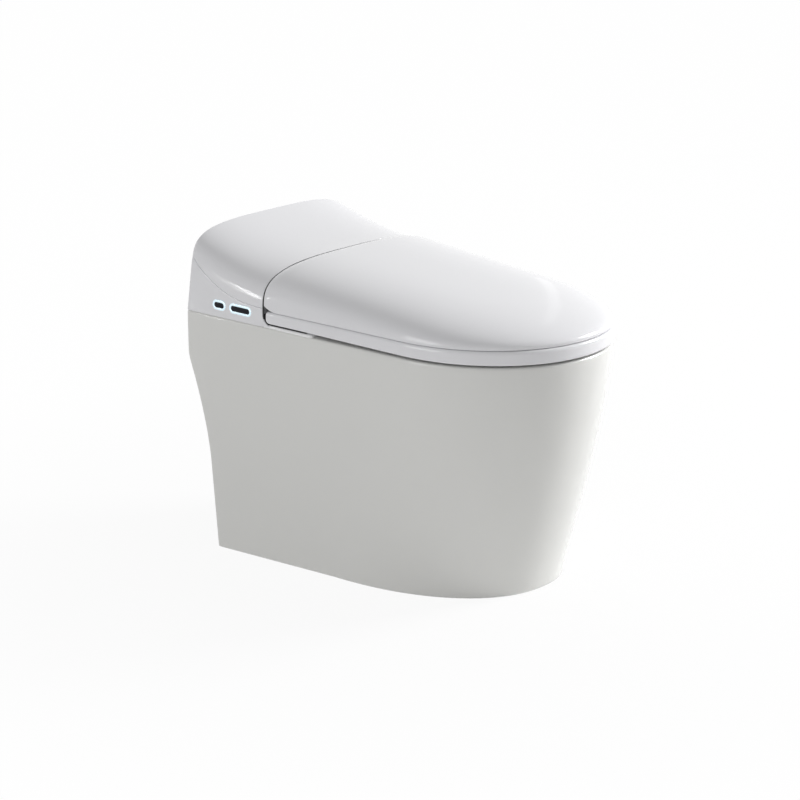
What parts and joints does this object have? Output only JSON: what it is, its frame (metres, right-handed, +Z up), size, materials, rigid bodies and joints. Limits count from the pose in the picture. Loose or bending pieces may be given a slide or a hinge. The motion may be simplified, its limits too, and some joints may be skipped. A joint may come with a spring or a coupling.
{
  "type": "smart toilet",
  "caption": "One-piece smart toilet: skirted ceramic pan, heated ring seat, domed lid on a powered hinge, raised rear housing with side keys, wash nozzle and air dryer.",
  "frame": {"origin": "middle of the bounding box at floor level", "axes": "-Y towards the front of the bowl, +Z up, +X to the left of a person seated on it; the X=0 plane halves the bowl"},
  "size_m": [0.41, 0.68, 0.5352],
  "materials": {
    "glazed_china": "smooth white glaze",
    "white_plastic": "glossy white moulding",
    "inner_plastic": "matt light grey moulding",
    "dark_plastic": "matt charcoal moulding",
    "key_black": "glossy black",
    "key_silver": "bright cool silver plating",
    "steel": "plain steel",
    "soft_rubber": "soft light grey rubber",
    "seal_rubber": "black rubber",
    "copper_foil": "thin copper coloured foil",
    "board_green": "green circuit board",
    "filter_black": "black carbon honeycomb"
  },
  "bodies": {
    "frame": {"ceramic_pan": "glazed_china", "outlet_seal": "seal_rubber", "base_plate": "white_plastic", "base_bolts": "steel", "side_panel_right": "white_plastic", "side_panel_left": "white_plastic", "rear_cover": "white_plastic", "front_bulkhead": "inner_plastic", "back_panel": "white_plastic", "hinge_pedestal": "inner_plastic", "seat_actuator": "dark_plastic", "lid_actuator": "dark_plastic", "nozzle_housing": "inner_plastic", "nozzle_motor": "dark_plastic", "dryer_duct": "inner_plastic", "dryer_blower": "inner_plastic", "deodorizer_duct": "inner_plastic", "deodorizer_fan": "inner_plastic", "carbon_filter": "filter_black", "heater_tank": "inner_plastic", "inlet_valve": "dark_plastic", "inlet_connector": "steel", "air_pump": "dark_plastic", "power_supply": "inner_plastic", "control_board": "board_green", "cord_gland": "dark_plastic", "key_bezel_large": "key_silver", "key_bezel_small": "key_silver", "key_board": "board_green"},
    "seat": {"seat_top": "white_plastic", "seat_base": "white_plastic", "seat_heater": "copper_foil", "seat_bumpers": "soft_rubber", "seat_hinge_arms": "white_plastic", "seat_drive_shaft": "steel"},
    "lid": {"lid_shell": "white_plastic", "lid_liner": "white_plastic", "lid_bumpers": "soft_rubber", "lid_hinge_lugs": "white_plastic", "lid_drive_shaft": "steel"},
    "nozzle": {"wash_nozzle": "white_plastic"},
    "dryer_wheel": {"dryer_impeller": "dark_plastic"},
    "odour_wheel": {"deodorizer_wheel": "dark_plastic"},
    "flap": {"dryer_flap": "white_plastic"},
    "large_key": {"key_large": "key_black"},
    "small_key": {"key_small": "key_black"}
  },
  "joints": [
    {"name": "seat_hinge", "type": "hinge", "parent": "frame", "child": "seat", "pos_m": [0, 0.138, 0.474], "axis": [-1, 0, 0], "range_deg": [0, 92]},
    {"name": "lid_hinge", "type": "hinge", "parent": "seat", "child": "lid", "pos_m": [0, 0.138, 0.474], "axis": [1, 0, 0], "range_deg": [-93, 0]},
    {"name": "nozzle_slide", "type": "slide", "parent": "frame", "child": "nozzle", "axis": [0, -0.9397, -0.342], "range_m": [0, 0.08]},
    {"name": "dryer_spin", "type": "hinge", "parent": "frame", "child": "dryer_wheel", "pos_m": [0.066, 0.227, 0.42], "axis": [0, 0, 1], "continuous": true},
    {"name": "odour_spin", "type": "hinge", "parent": "frame", "child": "odour_wheel", "pos_m": [-0.066, 0.227, 0.42], "axis": [0, 0, 1], "continuous": true},
    {"name": "flap_hinge", "type": "hinge", "parent": "frame", "child": "flap", "pos_m": [0.066, 0.0596, 0.3936], "axis": [-1, 0, 0], "range_deg": [0, 75]},
    {"name": "key_large_press", "type": "slide", "parent": "frame", "child": "large_key", "axis": [1, 0, 0], "range_m": [0, 0.0012], "stiffness_N_per_m": 600},
    {"name": "key_small_press", "type": "slide", "parent": "frame", "child": "small_key", "axis": [1, 0, 0], "range_m": [0, 0.0012], "stiffness_N_per_m": 600}
  ]
}
